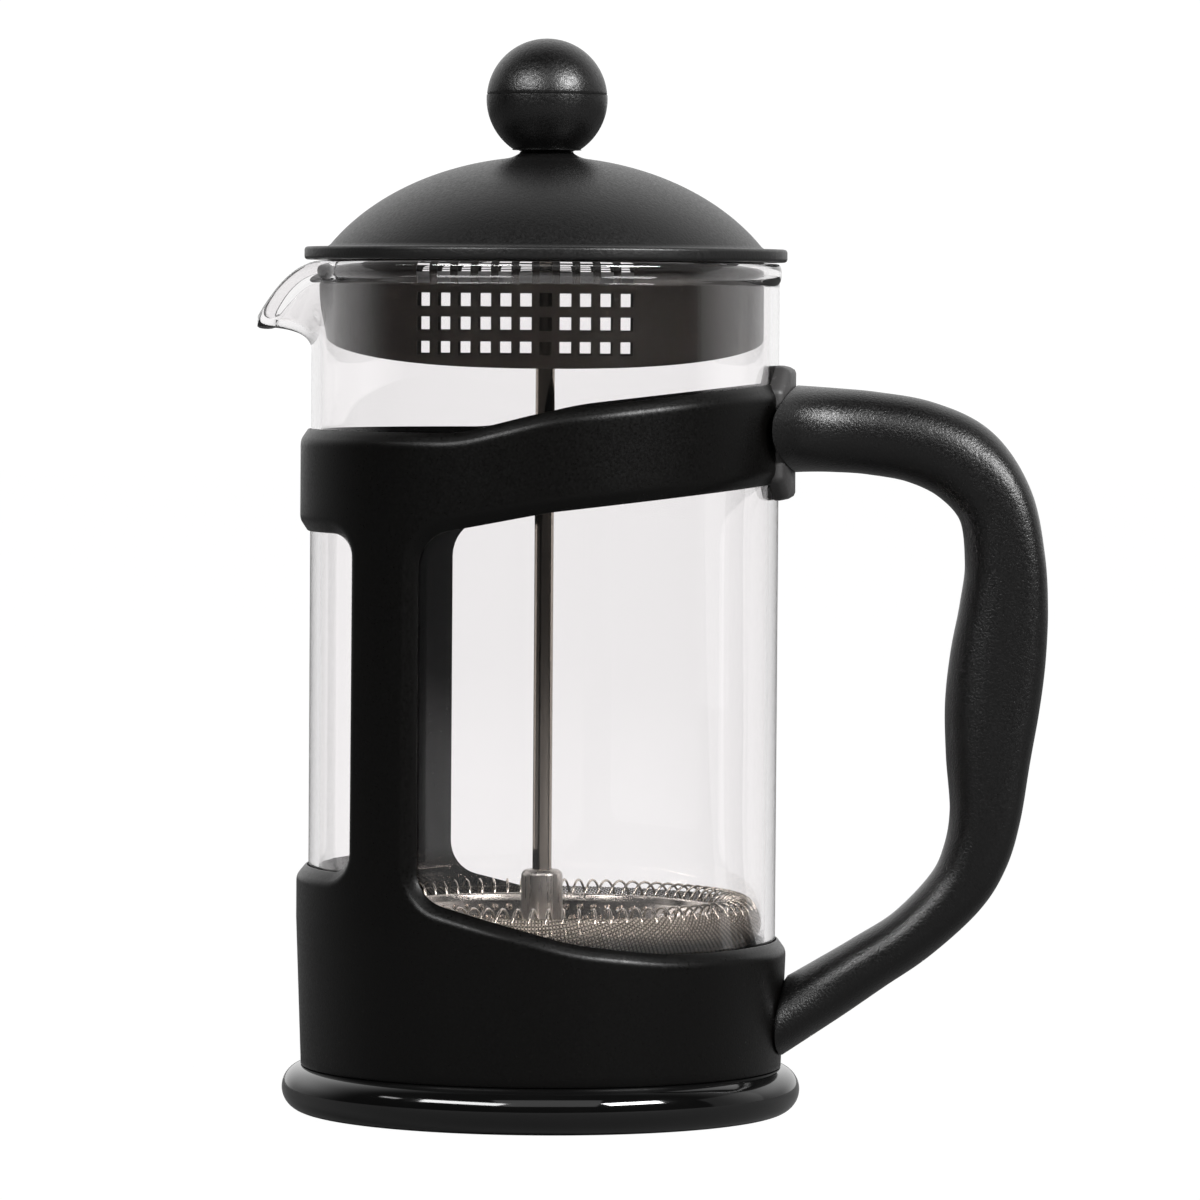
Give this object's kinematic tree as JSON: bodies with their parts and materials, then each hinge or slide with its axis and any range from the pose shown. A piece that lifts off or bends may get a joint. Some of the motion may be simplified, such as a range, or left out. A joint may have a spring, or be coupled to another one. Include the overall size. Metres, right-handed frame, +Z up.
{
  "type": "french press",
  "caption": "Glass french press in an open black cage with a side handle, a domed lid and a sprung mesh plunger, for brewing and pouring coffee.",
  "frame": {"origin": "on the beaker's axis, on the plane of the table that the foot ring stands on", "axes": "+Z up along the beaker's axis, +X towards the handle, -X towards the pouring spout"},
  "size_m": [0.1644, 0.1076, 0.2223],
  "materials": {
    "cage_plastic": "matte moulded black, finely grained",
    "foot_plastic": "polished black",
    "saddle_plastic": "satin black",
    "handle_plastic": "satin black, grained",
    "screw_steel": "zinc-bright",
    "beaker_glass": "clear, polished",
    "guide_steel": "turned steel",
    "lid_plastic": "matte charcoal, finely speckled",
    "strainer_plastic": "matte black",
    "rod_chrome": "polished",
    "knob_plastic": "satin black",
    "insert_brass": "turned brass",
    "hub_steel": "satin turned steel",
    "plate_steel": "pressed stainless steel",
    "spring_steel": "bright spring wire",
    "mesh_steel": "fine woven stainless mesh"
  },
  "bodies": {
    "stand": {"frame": "cage_plastic", "base_foot": "foot_plastic", "handle_saddle": "saddle_plastic", "handle": "handle_plastic", "upper_handle_screw": "screw_steel", "lower_handle_screw": "screw_steel"},
    "beaker": {"glass_beaker": "beaker_glass"},
    "guide": {"rod_guide": "guide_steel"},
    "lid": {"lid_dome": "lid_plastic", "lid_strainer": "strainer_plastic"},
    "plunger": {"plunger_rod": "rod_chrome", "knob_base": "knob_plastic", "knob_cap": "knob_plastic", "knob_insert": "insert_brass", "filter_hub": "hub_steel", "filter_plate": "plate_steel", "edge_spring": "spring_steel", "mesh_filter": "mesh_steel", "cross_plate": "plate_steel", "bottom_nut": "hub_steel"}
  },
  "joints": [
    {"name": "beaker_lift", "type": "slide", "parent": "stand", "child": "beaker", "axis": [0, 0, 1], "range_m": [0, 0.15]},
    {"name": "lid_lift", "type": "slide", "parent": "beaker", "child": "guide", "axis": [0, 0, 1], "range_m": [0, 0.15]},
    {"name": "lid_turn", "type": "hinge", "parent": "guide", "child": "lid", "pos_m": [0, 0, 0.1775], "axis": [0, 0, 1], "continuous": true},
    {"name": "plunger_slide", "type": "slide", "parent": "guide", "child": "plunger", "axis": [0, 0, 1], "range_m": [0, 0.108]}
  ]
}
